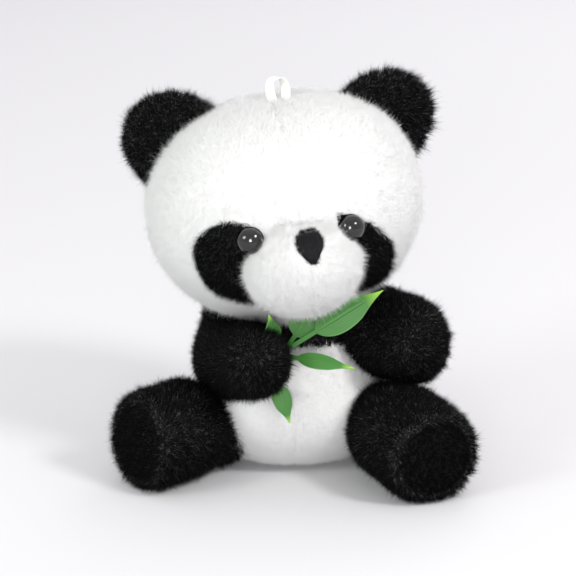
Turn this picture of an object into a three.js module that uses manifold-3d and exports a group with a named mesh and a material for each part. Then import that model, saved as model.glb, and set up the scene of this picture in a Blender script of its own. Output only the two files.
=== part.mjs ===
// A small seated plush panda that holds a plastic bamboo sprig, about 11 cm tall.
// Millimetres, +Z up, the panda faces -Y, and its own right hand is on the -X side.
// The origin is the middle of the flat underside of its body.
// Every fabric panel is a thin closed sheet, with the stuffing as a separate solid inside it.
import * as THREE from "three";
import { mergeVertices } from "three/addons/utils/BufferGeometryUtils.js";
import Module from "manifold-3d";

const wasm = await Module();
wasm.setup();

// ---------- driving dimensions ----------
const GAP = 0.35; // clear space kept between neighbouring pieces
const SKIN = 1.2; // thickness of a plush panel without its pile

// Body: a pear turned about Z, a little flatter front to back. [radius, height] from the seat up.
const BODY_PROFILE = [
  [10.5, 0], [17, 1.1], [21.6, 4.4], [24.6, 9.6], [25.4, 15.5], [24.7, 21.5], [23, 27.5], [20.8, 33.5],
  [18.4, 39], [14, 44], [7, 47],
];
const BODY_FLATTEN = 0.96; // depth over width
const BODY_CORE = new THREE.Vector3(0, 0, 23); // the panels' inner faces shrink towards this
const BAND_AT = new THREE.Vector3(0, -22, 36); // lower edge of the black shoulder band, at the chest
const BAND_DIP = 0.06; // the band's edge falls this much per mm towards the back
const BASE_Z = 3.6; // upper edge of the underside panel
const POUCH = { radius: [11.5, 11.5, 6.5], at: [0, 3, 12], well: 3 }; // pouch of beans, and the hole over it

// Head: an oblate ball, rolled and turned a little as the toy was stuffed.
const HEAD_AT = new THREE.Vector3(-2.5, -3, 72);
const HEAD_R = [37.4, 32, 30.6];
const HEAD_ROLL = -8; // degrees about Y
const HEAD_YAW = 8.5; // degrees about Z
const FACE_SEAM_Y = 2; // the side-to-side seam over the crown, in the head's own frame
const NECK_TOP_Z = 43.9; // flat of the head at the neck opening
const NECK_LOW_Z = 41.4; // flat of the body at the neck opening
const NECK_RING = { radius: 7.6, wire: 0.45, z: 42.8 };
const NECK_BORE = 9.6; // radius of the neck opening

// Muzzle, in the head's own frame.
const MUZZLE_AT = [-0.3, -28.5, -8.2];
const MUZZLE_R = [15.6, 14.2, 13.4];

// Eye patches: oval outlines in the head's XZ plane.
const PATCH = {
  right: { x: -19.8, z: -6.6, across: 8.4, tall: 12.2 },
  left: { x: 18.2, z: -9.6, across: 8.2, tall: 11.2 },
};

// Plastic eyes: 8 mm domes on a shank with a lock washer behind the fabric.
const EYE = { x: 13.6, z: { right: 1.4, left: 0.1 }, radius: 4, dome: 2.7, disc: 0.9, shank: 1.1, length: 8.5 };
const WASHER = { radius: 4.6, bore: 1.45, thick: 1.0 };

// Nose: a padded satin-stitch patch on the upper front of the muzzle.
const NOSE = { wide: 7.0, tall: 8.8, proud: 0.9, x: 1.1, z: -1.2 };

// Ears: flattened half discs on the upper corners of the head.
const EAR = { angle: { right: 43.5, left: 53 }, wide: 13.8, tall: 16.5, thick: 3.4, y: 1.5, fold: 18 };

// Hanging loop: a folded ribbon in the crown seam.
const LOOP = { x: 3.2, y: -2, wide: 3.1, tall: 8.2, width: 2.2, thick: 0.9, slot: [9, 3, 14] };

// Limbs run from a ball in the body's side to the paw or foot.
const ARM = {
  right: { root: [-17, -11, 35.9], tip: [-10.3, -35.2, 36.2], rootRadius: 10.2, tipRadius: 7.8 },
  left: { root: [17.5, -4, 36.8], tip: [31.8, -19.6, 38.4], rootRadius: 10.8, tipRadius: 10 },
};
const LEG = {
  right: { root: [-22, -13, 13.2], tip: [-42.4, -33.6, 12.7] },
  left: { root: [22, -17, 14.6], tip: [38.6, -44.2, 12.6] },
  rootRadius: 11.8,
  tipRadius: 12.5,
  footRound: 3.2,
  soleRadius: 10.4,
};

// Bamboo sprig: a stem behind the right paw, with five leaves in a fan.
const STEM = {
  radius: 1,
  route: [[-0.9, -28.8, 29], [-0.6, -28.6, 32], [-0.9, -29.2, 36], [-1.9, -30.4, 39.2]],
};
const LEAF_THICK = 0.8;
const LEAVES = {
  leaf_small: { base: [-3.9, -30.8, 42], tip: [-5, -34.6, 49.4], half: 2.9, face: [0.3, -1, 0.1] },
  leaf_middle: { base: [-1.9, -28.5, 41.6], tip: [3.2, -28.3, 47.8], half: 4, face: [0, -1, 0.3] },
  leaf_large: { base: [-0.7, -30.8, 39.9], tip: [24.4, -30.2, 56], half: 4.4, face: [0.15, -1, 0.5] },
  leaf_low: { base: [-0.9, -31, 37.2], tip: [16.4, -38, 36.4], half: 2.5, face: [0.1, -1, 0.5] },
  leaf_hanging: { base: [-2.8, -29.2, 28], tip: [-1.2, -31.8, 19.6], half: 3, face: [0.1, -1, 0.3] },
};

// How far each joint turns, in degrees, for the clearances cut around it.
const TURN = {
  neckTurn: [-15, 0, 3],
  neckNod: [-7, 0],
  shoulder: { right: [-7, 0], left: [-4, 0, 6] },
  hip: [0, 6, 12],
};

// ---------- materials ----------
function material(colour, roughness, metalness = 0) {
  return new THREE.MeshStandardMaterial({ color: colour, roughness, metalness });
}
const WHITE_PLUSH = material(0xf1efec, 0.95);
const BLACK_PLUSH = material(0x26262c, 0.95);
const STUFFING = material(0xf4f4f0, 1);
const BEAN_CLOTH = material(0xe6e2da, 0.9);
const EYE_CLEAR = material(0xd8dade, 0.08);
const EYE_DARK = material(0x131316, 0.25);
const WASHER_WHITE = material(0xe9e9e6, 0.5);
const NOSE_THREAD = material(0x2a2a33, 0.45);
const RIBBON_WHITE = material(0xf3f1ef, 0.4);
const SEAM_THREAD = material(0xeeece8, 0.7);
const LEAF_GREEN = material(0x4f9a2e, 0.35);
const STEM_GREEN = material(0x5da336, 0.4);

// ---------- solids ----------
const RAD = Math.PI / 180;
const FRONT = new THREE.Vector3(0, -1, 0);
const UP = new THREE.Vector3(0, 0, 1);
const FAR = 200;
const SIDES = { right: -1, left: 1 };

// A closed geometry as a solid, moved by a matrix first.
function solidOf(geometry, matrix = null) {
  const bare = geometry.clone();
  bare.deleteAttribute("normal");
  bare.deleteAttribute("uv");
  if (matrix) bare.applyMatrix4(matrix);
  const merged = mergeVertices(bare, 1e-4);
  return new wasm.Manifold(new wasm.Mesh({
    numProp: 3,
    vertProperties: new Float32Array(merged.attributes.position.array),
    triVerts: new Uint32Array(merged.index.array),
  }));
}

function geometryOf(solid) {
  const mesh = solid.getMesh();
  const geometry = new THREE.BufferGeometry();
  geometry.setAttribute("position", new THREE.BufferAttribute(mesh.vertProperties, 3));
  geometry.setIndex(new THREE.BufferAttribute(mesh.triVerts, 1));
  geometry.computeVertexNormals();
  return geometry;
}

function piece(group, name, solid, look) {
  const mesh = new THREE.Mesh(geometryOf(largestOf(solid)), look);
  mesh.name = name;
  group.add(mesh);
  return mesh;
}

function place(position, quaternion = new THREE.Quaternion()) {
  return new THREE.Matrix4().compose(new THREE.Vector3(...position), quaternion, new THREE.Vector3(1, 1, 1));
}

// Turns by some degrees about an axis through a point.
function turnAbout(point, axis, degrees) {
  const there = new THREE.Matrix4().makeTranslation(...point);
  const back = there.clone().invert();
  const turn = new THREE.Matrix4().makeRotationAxis(new THREE.Vector3(...axis).normalize(), degrees * RAD);
  return there.multiply(turn).multiply(back);
}

function ballGeometry(radii, across = 24, down = 16) {
  return new THREE.SphereGeometry(1, across, down).rotateX(Math.PI / 2).scale(...radii);
}

function grown(radii, by) {
  return radii.map((radius) => radius + by);
}

// Everything on the side of a plane that the normal points to.
function halfSpace(point, normal, offset = 0) {
  const turn = new THREE.Quaternion().setFromUnitVectors(UP, normal.clone().normalize());
  const box = new THREE.BoxGeometry(2 * FAR, 2 * FAR, FAR).translate(0, 0, FAR / 2 + offset);
  return solidOf(box, place(point.toArray(), turn));
}

// An upright bar with a flat outline in XZ, from one Y to another.
function barThrough(shape, fromY, toY) {
  const bar = new THREE.ExtrudeGeometry(shape, { depth: toY - fromY, bevelEnabled: false, curveSegments: 10 });
  return solidOf(bar.rotateX(Math.PI / 2).translate(0, toY, 0));
}

function ringProfile(radius, height, z, bore = 0) {
  const points = [[bore, z], [radius, z], [radius, z + height], [bore, z + height]];
  if (bore > 0) points.push([bore, z]);
  return points.map(([x, y]) => new THREE.Vector2(x, y));
}

// A disc or washer about Z.
function disc(radius, height, z, bore = 0, sides = 24, matrix = null) {
  return solidOf(new THREE.LatheGeometry(ringProfile(radius, height, z, bore), sides).rotateX(Math.PI / 2), matrix);
}

function allOf(solids) {
  return solids.reduce((sum, solid) => sum.add(solid));
}

// The largest of the bodies that a cut leaves, without its slivers.
function largestOf(solid) {
  return solid.decompose().reduce((best, body) => (body.volume() > best.volume() ? body : best));
}

// ---------- frames ----------
const headTurn = new THREE.Quaternion()
  .setFromAxisAngle(UP, HEAD_YAW * RAD)
  .multiply(new THREE.Quaternion().setFromAxisAngle(new THREE.Vector3(0, 1, 0), HEAD_ROLL * RAD));
const headFrame = place(HEAD_AT.toArray(), headTurn);
const neckPivot = [HEAD_AT.x, HEAD_AT.y, NECK_RING.z];

// A limb's own frame has its root at 0 and runs along +Y.
function limbFrame(limb) {
  const root = new THREE.Vector3(...limb.root);
  const along = new THREE.Vector3(...limb.tip).sub(root);
  const turn = new THREE.Quaternion().setFromUnitVectors(new THREE.Vector3(0, 1, 0), along.clone().normalize());
  return { matrix: place(limb.root, turn), length: along.length(), turn };
}

// Horizontal axis across a limb, so that a positive turn lifts its end.
function liftAxis(limb) {
  const along = new THREE.Vector3(...limb.tip).sub(new THREE.Vector3(...limb.root)).setZ(0).normalize();
  return new THREE.Vector3().crossVectors(along, UP).toArray();
}

// ---------- outer forms ----------
function bodyGeometry(inset = 0, sides = 26) {
  const points = [new THREE.Vector2(0, BODY_PROFILE[0][1])];
  for (const [radius, z] of BODY_PROFILE) points.push(new THREE.Vector2(radius, z));
  points.push(new THREE.Vector2(0, BODY_PROFILE.at(-1)[1] + 0.8));
  const geometry = new THREE.LatheGeometry(points, sides).rotateX(Math.PI / 2).scale(1, BODY_FLATTEN, 1);
  const shrink = 1 - inset / BODY_PROFILE[4][0];
  const [x, y, z] = BODY_CORE.toArray();
  return geometry.translate(-x, -y, -z).scale(shrink, shrink, shrink).translate(x, y, z);
}

// A capsule about +Y with a different radius at each end.
function armGeometry(limb, inset = 0, sides = 16, steps = 4) {
  const { length } = limbFrame(limb);
  const root = limb.rootRadius - inset;
  const tip = limb.tipRadius - inset;
  const lean = Math.asin((tip - root) / length);
  const points = [];
  for (let i = 0; i <= steps; i += 1) {
    const a = -Math.PI / 2 + (i / steps) * (Math.PI / 2 - lean);
    points.push(new THREE.Vector2(i === 0 ? 0 : root * Math.cos(a), root * Math.sin(a)));
  }
  for (let i = 0; i <= steps; i += 1) {
    const a = -lean + (i / steps) * (Math.PI / 2 + lean);
    points.push(new THREE.Vector2(i === steps ? 0 : tip * Math.cos(a), length + tip * Math.sin(a)));
  }
  return new THREE.LatheGeometry(points, sides);
}

// A leg: a ball at the hip, a straight barrel and a flat foot with a rounded edge, about +Y.
function legGeometry(limb, inset = 0, sides = 18, steps = 4) {
  const hip = LEG.rootRadius - inset;
  const foot = LEG.tipRadius - inset;
  const round = LEG.footRound;
  const end = limbFrame(limb).length - inset;
  const points = [];
  for (let i = 0; i <= steps; i += 1) {
    const a = -Math.PI / 2 + (i / steps) * (Math.PI / 2);
    points.push(new THREE.Vector2(i === 0 ? 0 : hip * Math.cos(a), hip * Math.sin(a)));
  }
  const turns = 3;
  for (let i = 0; i <= turns; i += 1) {
    const a = (i / turns) * (Math.PI / 2);
    points.push(new THREE.Vector2(foot - round + round * Math.cos(a), end - round + round * Math.sin(a)));
  }
  points.push(new THREE.Vector2(0, end));
  return new THREE.LatheGeometry(points, sides);
}

const root = new THREE.Group();

// ---------- limbs' clearances in the body ----------
function limbSweep(geometry, limb, turns) {
  const frame = limbFrame(limb).matrix;
  const axis = liftAxis(limb);
  return allOf(turns.map((turn) => solidOf(geometry, turnAbout(limb.root, axis, turn).multiply(frame))));
}
// The sweeps are coarse, so they are grown a little to stay clear at the middle of each facet.
const ROUGH = 0.55;
const limbSweeps = Object.keys(SIDES).flatMap((name) => [
  limbSweep(armGeometry(ARM[name], -GAP - ROUGH, 12, 3), ARM[name], TURN.shoulder[name]),
  limbSweep(legGeometry(LEG[name], -GAP - ROUGH, 12, 3), LEG[name], TURN.hip),
]);
// Hollows in the body's stuffing for the four limbs and the head, as plain balls.
const CORE_ROOM = 1.4;
function hollow(radius, at) {
  return solidOf(ballGeometry([radius, radius, radius], 10, 8), place(at));
}
const coreHollows = Object.keys(SIDES).flatMap((name) => {
  const arm = ARM[name];
  const forearm = new THREE.Vector3(...arm.root).lerp(new THREE.Vector3(...arm.tip), 0.45).toArray();
  return [
    hollow(arm.rootRadius + CORE_ROOM, arm.root),
    hollow(arm.rootRadius + 2 * CORE_ROOM, forearm),
    hollow(LEG.rootRadius + CORE_ROOM, LEG[name].root),
  ];
});
const headHollow = solidOf(ballGeometry(grown(HEAD_R, 2 * CORE_ROOM), 14, 10), headFrame);

// The space that the head turns in, seen from a frame that a matrix leads to.
function headSweep(matrix = new THREE.Matrix4()) {
  const ball = ballGeometry(grown(HEAD_R, GAP + ROUGH), 16, 10);
  return allOf(TURN.neckNod.flatMap((nod) => TURN.neckTurn.map((turn) => solidOf(ball, matrix.clone()
    .multiply(turnAbout(neckPivot, [1, 0, 0], nod))
    .multiply(turnAbout(neckPivot, [0, 0, 1], turn))
    .multiply(headFrame)))));
}
const skinClearance = allOf([headSweep(), ...limbSweeps]);

// ---------- body ----------
function buildBody() {
  const group = new THREE.Group();
  const above = halfSpace(new THREE.Vector3(0, 0, NECK_LOW_Z), UP);
  const skin = solidOf(bodyGeometry()).subtract(solidOf(bodyGeometry(SKIN))).subtract(skinClearance).subtract(above);

  const bandNormal = new THREE.Vector3(0, BAND_DIP, 1);
  const band = skin.intersect(halfSpace(BAND_AT, bandNormal, GAP / 2));
  const lower = skin.subtract(halfSpace(BAND_AT, bandNormal, -GAP / 2));
  const origin = new THREE.Vector3();
  const frontHalf = halfSpace(origin, FRONT, GAP / 2);
  const backHalf = halfSpace(origin, FRONT.clone().negate(), GAP / 2);
  const leftHalf = halfSpace(origin, new THREE.Vector3(1, 0, 0), GAP / 2);
  const rightHalf = halfSpace(origin, new THREE.Vector3(-1, 0, 0), GAP / 2);
  const wall = lower.intersect(halfSpace(new THREE.Vector3(0, 0, BASE_Z), UP, GAP / 2));
  const base = lower.subtract(halfSpace(new THREE.Vector3(0, 0, BASE_Z), UP, -GAP / 2));

  piece(group, "yoke_front", band.intersect(frontHalf), BLACK_PLUSH);
  piece(group, "yoke_back", band.intersect(backHalf), BLACK_PLUSH);
  piece(group, "belly_right", wall.intersect(frontHalf).intersect(rightHalf), WHITE_PLUSH);
  piece(group, "belly_left", wall.intersect(frontHalf).intersect(leftHalf), WHITE_PLUSH);
  piece(group, "back_right", wall.intersect(backHalf).intersect(rightHalf), WHITE_PLUSH);
  piece(group, "back_left", wall.intersect(backHalf).intersect(leftHalf), WHITE_PLUSH);
  piece(group, "base_panel", base, WHITE_PLUSH);

  const pouch = solidOf(ballGeometry(POUCH.radius, 16, 10), place(POUCH.at));
  const pouchRoom = solidOf(ballGeometry(grown(POUCH.radius, GAP), 16, 10), place(POUCH.at));
  // The pouch is put in through the neck, and the stuffing is packed in after it around this hole.
  const well = disc(POUCH.well, BODY_PROFILE.at(-1)[1], POUCH.at[2], 0, 8, place([0, POUCH.at[1], 0]));
  const filling = solidOf(bodyGeometry(SKIN + 3 * GAP, 16)).subtract(allOf([headHollow, ...coreHollows]))
    .subtract(above).subtract(pouchRoom).subtract(well);
  piece(group, "body_stuffing", filling, STUFFING);
  piece(group, "bean_pouch", pouch, BEAN_CLOTH);
  return group;
}

// ---------- neck ----------
function buildNeck() {
  const group = new THREE.Group();
  const ring = new THREE.TorusGeometry(NECK_RING.radius, NECK_RING.wire, 6, 28);
  const thread = new THREE.Mesh(ring, SEAM_THREAD);
  thread.name = "neck_seam";
  thread.position.set(...neckPivot);
  group.add(thread);
  return group;
}

// ---------- head ----------
function patchShape(name, grow) {
  const { x, z, across, tall } = PATCH[name];
  return new THREE.Shape().absellipse(x, z, across + grow, tall + grow, 0, 2 * Math.PI);
}

// Where an eye sits on the head, with +Z of its frame pointing out of the fabric.
function eyeFrame(name) {
  const [a, b, c] = HEAD_R;
  const x = SIDES[name] * EYE.x;
  const z = EYE.z[name];
  const y = -b * Math.sqrt(1 - (x / a) ** 2 - (z / c) ** 2);
  const out = new THREE.Vector3(x / (a * a), y / (b * b), z / (c * c)).normalize();
  const turn = new THREE.Quaternion().setFromUnitVectors(UP, out);
  return place([x, y, z], turn);
}

function noseShape(grow = 0) {
  const half = NOSE.wide / 2 + grow;
  const top = NOSE.z + NOSE.tall / 2 + grow;
  const tip = NOSE.z - NOSE.tall / 2 - grow;
  const { x } = NOSE;
  const shape = new THREE.Shape();
  shape.moveTo(x, tip);
  shape.bezierCurveTo(x + half * 0.55, tip + 1.6, x + half, top - 5.2, x + half, top - 2.6);
  shape.bezierCurveTo(x + half, top - 0.6, x + half * 0.55, top, x, top);
  shape.bezierCurveTo(x - half * 0.55, top, x - half, top - 0.6, x - half, top - 2.6);
  shape.bezierCurveTo(x - half, top - 5.2, x - half * 0.55, tip + 1.6, x, tip);
  return shape;
}

// A solid in the part's frame, cut or shown in the head's own frame.
const toHead = headFrame.clone().invert();
function headLocal(geometry, matrix) {
  return solidOf(geometry, toHead.clone().multiply(matrix));
}

function buildHead() {
  const group = new THREE.Group();
  group.position.copy(HEAD_AT);
  group.quaternion.copy(headTurn);

  const below = new THREE.BoxGeometry(2 * FAR, 2 * FAR, FAR).translate(0, 0, NECK_TOP_Z - FAR / 2);
  const neckCut = headLocal(below, new THREE.Matrix4());
  const neckHole = new THREE.LatheGeometry(ringProfile(NECK_BORE - 2, 12, 0), 24).rotateX(Math.PI / 2);
  const neckMouth = headLocal(neckHole, place([neckPivot[0], neckPivot[1], NECK_TOP_Z - 4]));
  const ball = solidOf(ballGeometry(HEAD_R));
  const shell = ball.subtract(solidOf(ballGeometry(grown(HEAD_R, -SKIN)))).subtract(neckCut).subtract(neckMouth);

  const muzzleForm = (by) => solidOf(ballGeometry(grown(MUZZLE_R, by), 20, 14), place(MUZZLE_AT));
  const names = Object.keys(SIDES);
  const eyeRoom = allOf(names.map((name) => disc(EYE.shank + GAP, 12, -11, 0, 12, eyeFrame(name))));
  const eyeSpace = allOf(names.map((name) => disc(EYE.radius + GAP, 9, -2, 0, 16, eyeFrame(name))));
  const patchBars = names.map((name) => barThrough(patchShape(name, GAP / 2), -60, 0));
  const ribbonSlot = solidOf(new THREE.BoxGeometry(...LOOP.slot), place([LOOP.x, LOOP.y, HEAD_R[2]]));
  const seam = new THREE.Vector3(0, FACE_SEAM_Y, 0);
  const front = halfSpace(seam, FRONT, GAP / 2);
  const back = halfSpace(seam, FRONT.clone().negate(), GAP / 2);
  const face = shell.intersect(front).subtract(muzzleForm(GAP)).subtract(allOf(patchBars)).subtract(eyeRoom)
    .subtract(ribbonSlot);

  for (const [name, side] of Object.entries(SIDES)) {
    const half = halfSpace(new THREE.Vector3(), new THREE.Vector3(side, 0, 0), GAP / 2);
    piece(group, `face_${name}`, face.intersect(half), WHITE_PLUSH);
    piece(group, `head_back_${name}`, shell.intersect(back).intersect(half), WHITE_PLUSH);

    const bar = barThrough(patchShape(name, -GAP / 2), -60, 0);
    const patch = shell.intersect(bar).subtract(muzzleForm(GAP)).subtract(eyeRoom);
    piece(group, `eye_patch_${name}`, patch, BLACK_PLUSH);

    const cap = muzzleForm(0).subtract(muzzleForm(-SKIN)).subtract(solidOf(ballGeometry(grown(HEAD_R, GAP))))
      .subtract(eyeSpace);
    piece(group, `muzzle_${name}`, cap.intersect(half), WHITE_PLUSH);
  }

  const insideHead = solidOf(ballGeometry(grown(HEAD_R, -SKIN - GAP - 0.4), 16, 12));
  const padForm = solidOf(ballGeometry(grown(MUZZLE_R, -SKIN - GAP - 0.3), 14, 10), place(MUZZLE_AT));
  const muzzlePad = padForm.subtract(solidOf(ballGeometry(grown(HEAD_R, GAP)))).subtract(eyeSpace);
  const washerRooms = allOf(names.map((name) => disc(
    WASHER.radius + GAP, 9 - SKIN, -9, 0, 16, eyeFrame(name),
  )));
  const neckBelow = headLocal(below, new THREE.Matrix4().makeTranslation(0, 0, GAP));
  piece(group, "head_stuffing", insideHead.subtract(neckBelow).subtract(washerRooms), STUFFING);
  piece(group, "muzzle_stuffing", muzzlePad, STUFFING);

  for (const name of names) {
    const holder = new THREE.Group();
    eyeFrame(name).decompose(holder.position, holder.quaternion, holder.scale);
    const base = GAP;
    const discTop = base + EYE.disc;
    const plate = disc(EYE.radius, EYE.disc, base, 0, 20);
    const post = disc(EYE.shank, EYE.length, base - EYE.length + 0.1, 0, 10);
    piece(holder, `eye_back_${name}`, plate.add(post), EYE_DARK);
    const domePoints = [new THREE.Vector2(0, discTop + GAP / 2)];
    const steps = 5;
    for (let i = 0; i <= steps; i += 1) {
      const a = (i / steps) * (Math.PI / 2);
      const radius = i === steps ? 0 : EYE.radius * Math.cos(a);
      domePoints.push(new THREE.Vector2(radius, discTop + GAP / 2 + EYE.dome * Math.sin(a)));
    }
    const dome = new THREE.LatheGeometry(domePoints, 20).rotateX(Math.PI / 2);
    piece(holder, `eye_lens_${name}`, solidOf(dome), EYE_CLEAR);
    const washerZ = -SKIN - 1.5 - WASHER.thick;
    const washer = disc(WASHER.radius, WASHER.thick, washerZ, WASHER.bore, 16);
    piece(holder, `eye_washer_${name}`, washer, WASHER_WHITE);
    group.add(holder);
  }

  const noseBar = barThrough(noseShape(), -80, MUZZLE_AT[1]);
  const nose = muzzleForm(GAP + NOSE.proud).subtract(muzzleForm(GAP)).intersect(noseBar);
  piece(group, "nose", nose, NOSE_THREAD);

  for (const name of names) group.add(buildEar(name, SIDES[name]));
  group.add(buildLoop());
  return group;
}

// An ear stands on the head with its fold line tangent to it.
function buildEar(name, side) {
  const group = new THREE.Group();
  const lean = side * EAR.angle[name] * RAD;
  const foot = [HEAD_R[0] * Math.sin(lean), EAR.y, HEAD_R[2] * Math.cos(lean)];
  group.position.set(...foot);
  group.quaternion.setFromAxisAngle(new THREE.Vector3(0, 1, 0), lean);
  group.updateMatrix();
  const toEar = group.matrix.clone().invert();
  const whole = solidOf(ballGeometry([EAR.wide, EAR.thick, EAR.tall], 20, 14));
  const headRoom = allOf([-EAR.fold, 0, EAR.fold].map((turn) => solidOf(
    ballGeometry(grown(HEAD_R, GAP)),
    turnAbout([0, 0, 0], [1, 0, 0], turn).multiply(toEar),
  )));
  const flap = whole.subtract(headRoom);
  const middle = new THREE.Vector3();
  piece(group, `ear_front_${name}`, flap.intersect(halfSpace(middle, FRONT, GAP / 2)), BLACK_PLUSH);
  piece(group, `ear_back_${name}`, flap.intersect(halfSpace(middle, FRONT.clone().negate(), GAP / 2)), BLACK_PLUSH);
  return group;
}

// A flat ribbon bent into a tall arch, with its two ends at the crown seam.
function buildLoop() {
  const group = new THREE.Group();
  group.position.set(LOOP.x, LOOP.y, HEAD_R[2]);
  const { wide, tall, thick, width } = LOOP;
  const foot = 0.6;
  const outer = new THREE.Shape();
  outer.moveTo(-wide * 0.55, foot);
  outer.bezierCurveTo(-wide * 0.9, tall * 0.4, -wide * 1.25, tall, 0, tall);
  outer.bezierCurveTo(wide * 1.25, tall, wide * 0.9, tall * 0.4, wide * 0.55, foot);
  outer.lineTo(wide * 0.55 - thick, foot);
  outer.bezierCurveTo(wide * 0.9 - thick, tall * 0.4, wide * 1.25 - thick * 1.6, tall - thick, 0, tall - thick);
  outer.bezierCurveTo(-wide * 1.25 + thick * 1.6, tall - thick, -wide * 0.9 + thick, tall * 0.4,
    -wide * 0.55 + thick, foot);
  outer.closePath();
  const ribbon = new THREE.ExtrudeGeometry(outer, { depth: width, bevelEnabled: false, curveSegments: 10 });
  const solid = solidOf(ribbon.rotateX(Math.PI / 2).translate(0, width / 2, 0));
  piece(group, "hanging_loop", solid, RIBBON_WHITE);
  return group;
}

// ---------- arms and legs ----------
function buildArm(name) {
  const group = new THREE.Group();
  const limb = ARM[name];
  const frame = limbFrame(limb);
  group.position.set(...limb.root);
  group.quaternion.copy(frame.turn);
  const toArm = frame.matrix.clone().invert();
  // The top of the arm is pressed in where the cheek comes down to it.
  const cheekRoom = allOf(TURN.shoulder[name].map((turn) => headSweep(
    toArm.clone().multiply(turnAbout(limb.root, liftAxis(limb), -turn)),
  )));
  const skin = solidOf(armGeometry(limb)).subtract(solidOf(armGeometry(limb, SKIN))).subtract(cheekRoom);
  const upper = new THREE.Vector3(0, 0, 1);
  const middle = new THREE.Vector3();
  piece(group, `arm_upper_${name}`, skin.intersect(halfSpace(middle, upper, GAP / 2)), BLACK_PLUSH);
  piece(group, `arm_lower_${name}`, skin.intersect(halfSpace(middle, upper.clone().negate(), GAP / 2)), BLACK_PLUSH);
  const filling = solidOf(armGeometry(limb, SKIN + GAP, 12, 3)).subtract(cheekRoom);
  piece(group, `arm_stuffing_${name}`, filling, STUFFING);
  return group;
}

function buildLeg(name) {
  const group = new THREE.Group();
  const limb = LEG[name];
  const frame = limbFrame(limb);
  group.position.set(...limb.root);
  group.quaternion.copy(frame.turn);
  const mouth = solidOf(new THREE.CylinderGeometry(LEG.soleRadius, LEG.soleRadius, 8, 24)
    .translate(0, frame.length, 0));
  const skin = solidOf(legGeometry(limb)).subtract(solidOf(legGeometry(limb, SKIN))).subtract(mouth);
  piece(group, `leg_${name}`, skin, BLACK_PLUSH);
  piece(group, `leg_stuffing_${name}`, solidOf(legGeometry(limb, SKIN + GAP, 12, 3)), STUFFING);
  const sole = new THREE.CylinderGeometry(LEG.soleRadius - GAP, LEG.soleRadius - GAP, SKIN, 24);
  const soleMesh = new THREE.Mesh(sole, BLACK_PLUSH);
  soleMesh.name = `sole_${name}`;
  soleMesh.position.set(0, frame.length - SKIN / 2, 0);
  group.add(soleMesh);
  return group;
}

// ---------- bamboo sprig ----------
// A pointed blade in its own XY plane, from the stalk at 0 to the tip on +X.
function leafShape(length, half) {
  const shape = new THREE.Shape();
  const stalk = 0.55;
  shape.moveTo(0, -stalk);
  shape.bezierCurveTo(length * 0.1, -stalk, length * 0.14, -half, length * 0.38, -half);
  shape.bezierCurveTo(length * 0.66, -half, length * 0.86, -half * 0.3, length, 0);
  shape.bezierCurveTo(length * 0.86, half * 0.3, length * 0.66, half, length * 0.38, half);
  shape.bezierCurveTo(length * 0.14, half, length * 0.1, stalk, 0, stalk);
  shape.closePath();
  return shape;
}

function buildSprig() {
  const group = new THREE.Group();
  const route = new THREE.CatmullRomCurve3(STEM.route.map((point) => new THREE.Vector3(...point)));
  const section = new THREE.Shape().absarc(0, 0, STEM.radius, 0, 2 * Math.PI);
  const stem = new THREE.ExtrudeGeometry(section, { extrudePath: route, steps: 16, curveSegments: 5 });
  piece(group, "stem", solidOf(stem), STEM_GREEN);
  for (const [name, leaf] of Object.entries(LEAVES)) {
    const base = new THREE.Vector3(...leaf.base);
    const along = new THREE.Vector3(...leaf.tip).sub(base);
    const length = along.length();
    along.normalize();
    const face = new THREE.Vector3(...leaf.face);
    const normal = face.sub(along.clone().multiplyScalar(face.dot(along))).normalize();
    const across = new THREE.Vector3().crossVectors(normal, along);
    const blade = new THREE.ExtrudeGeometry(leafShape(length, leaf.half), {
      depth: LEAF_THICK, bevelEnabled: false, curveSegments: 7,
    }).translate(0, 0, -LEAF_THICK / 2);
    const mesh = new THREE.Mesh(blade, LEAF_GREEN);
    mesh.name = name;
    mesh.matrix.makeBasis(along, across, normal).setPosition(base);
    mesh.matrix.decompose(mesh.position, mesh.quaternion, mesh.scale);
    group.add(mesh);
  }
  return group;
}

root.add(buildBody());
root.add(buildNeck());
root.add(buildHead());
for (const side of ["right", "left"]) {
  root.add(buildArm(side));
  root.add(buildLeg(side));
}
root.add(buildSprig());

export default root;
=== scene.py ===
# Looks for a small seated plush panda that holds a plastic bamboo sprig.
# Shapes are worked out in millimetres in the model's own frame and turned into metres when a mesh is made.
# The panda faces -Y, and its own right hand is on the -X side.
import math
from functools import partial

import bpy
import numpy as np
from mathutils import Matrix, Vector


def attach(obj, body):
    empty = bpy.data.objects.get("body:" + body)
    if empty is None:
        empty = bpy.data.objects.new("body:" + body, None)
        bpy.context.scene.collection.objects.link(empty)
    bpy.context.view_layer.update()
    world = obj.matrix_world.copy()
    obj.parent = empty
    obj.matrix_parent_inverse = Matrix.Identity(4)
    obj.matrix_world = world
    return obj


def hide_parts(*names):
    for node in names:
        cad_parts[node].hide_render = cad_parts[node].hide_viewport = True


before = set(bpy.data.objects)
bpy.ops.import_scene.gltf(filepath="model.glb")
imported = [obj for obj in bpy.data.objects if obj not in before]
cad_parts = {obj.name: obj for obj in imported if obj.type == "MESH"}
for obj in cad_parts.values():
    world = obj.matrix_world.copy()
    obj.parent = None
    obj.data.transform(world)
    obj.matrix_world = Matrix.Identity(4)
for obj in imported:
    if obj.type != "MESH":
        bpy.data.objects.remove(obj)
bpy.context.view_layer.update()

MM = 0.001
SIDES = {"right": -1.0, "left": 1.0}


def add_object(name, data):
    thing = bpy.data.objects.new(name, data)
    bpy.context.collection.objects.link(thing)
    return thing


# ---------- camera and light ----------
TARGET = Vector((-1.4, -15.0, 51.9)) * MM
CAMERA_DISTANCE = 0.7
CAMERA_ELEVATION = math.radians(17)
CAMERA_LENS = 158.2

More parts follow.
